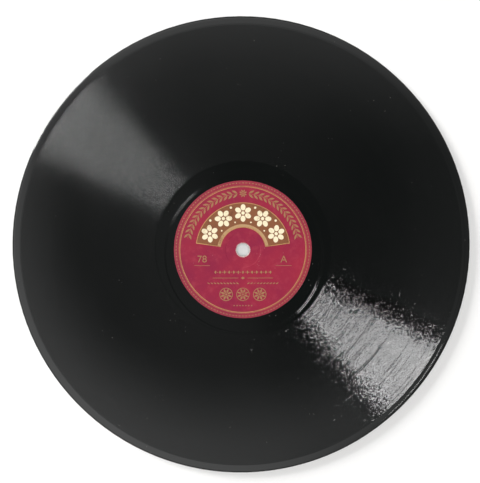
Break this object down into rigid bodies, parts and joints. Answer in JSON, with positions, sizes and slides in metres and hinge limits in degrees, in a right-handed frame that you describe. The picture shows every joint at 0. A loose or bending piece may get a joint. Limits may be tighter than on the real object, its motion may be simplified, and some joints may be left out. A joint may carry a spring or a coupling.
{
  "type": "shellac record",
  "caption": "Thin round black shellac gramophone record with a spindle hole, a groove band and a round paper label let into each face.",
  "frame": {"origin": "centre of the spindle hole in the plane of side B, on which the record lies", "axes": "+Z along the spindle's axis, out of side A; +Y towards the top of side A's label; +X to the right of that label as it is read"},
  "size_m": [0.25, 0.25, 0.0022],
  "materials": {
    "shellac": "pressed shellac compound, glossy black",
    "label_paper": "plum-coloured printed paper, hot-pressed to a low sheen"
  },
  "bodies": {
    "root": {"shellac_disc": "shellac", "label_side_a": "label_paper", "label_side_b": "label_paper"}
  },
  "joints": []
}
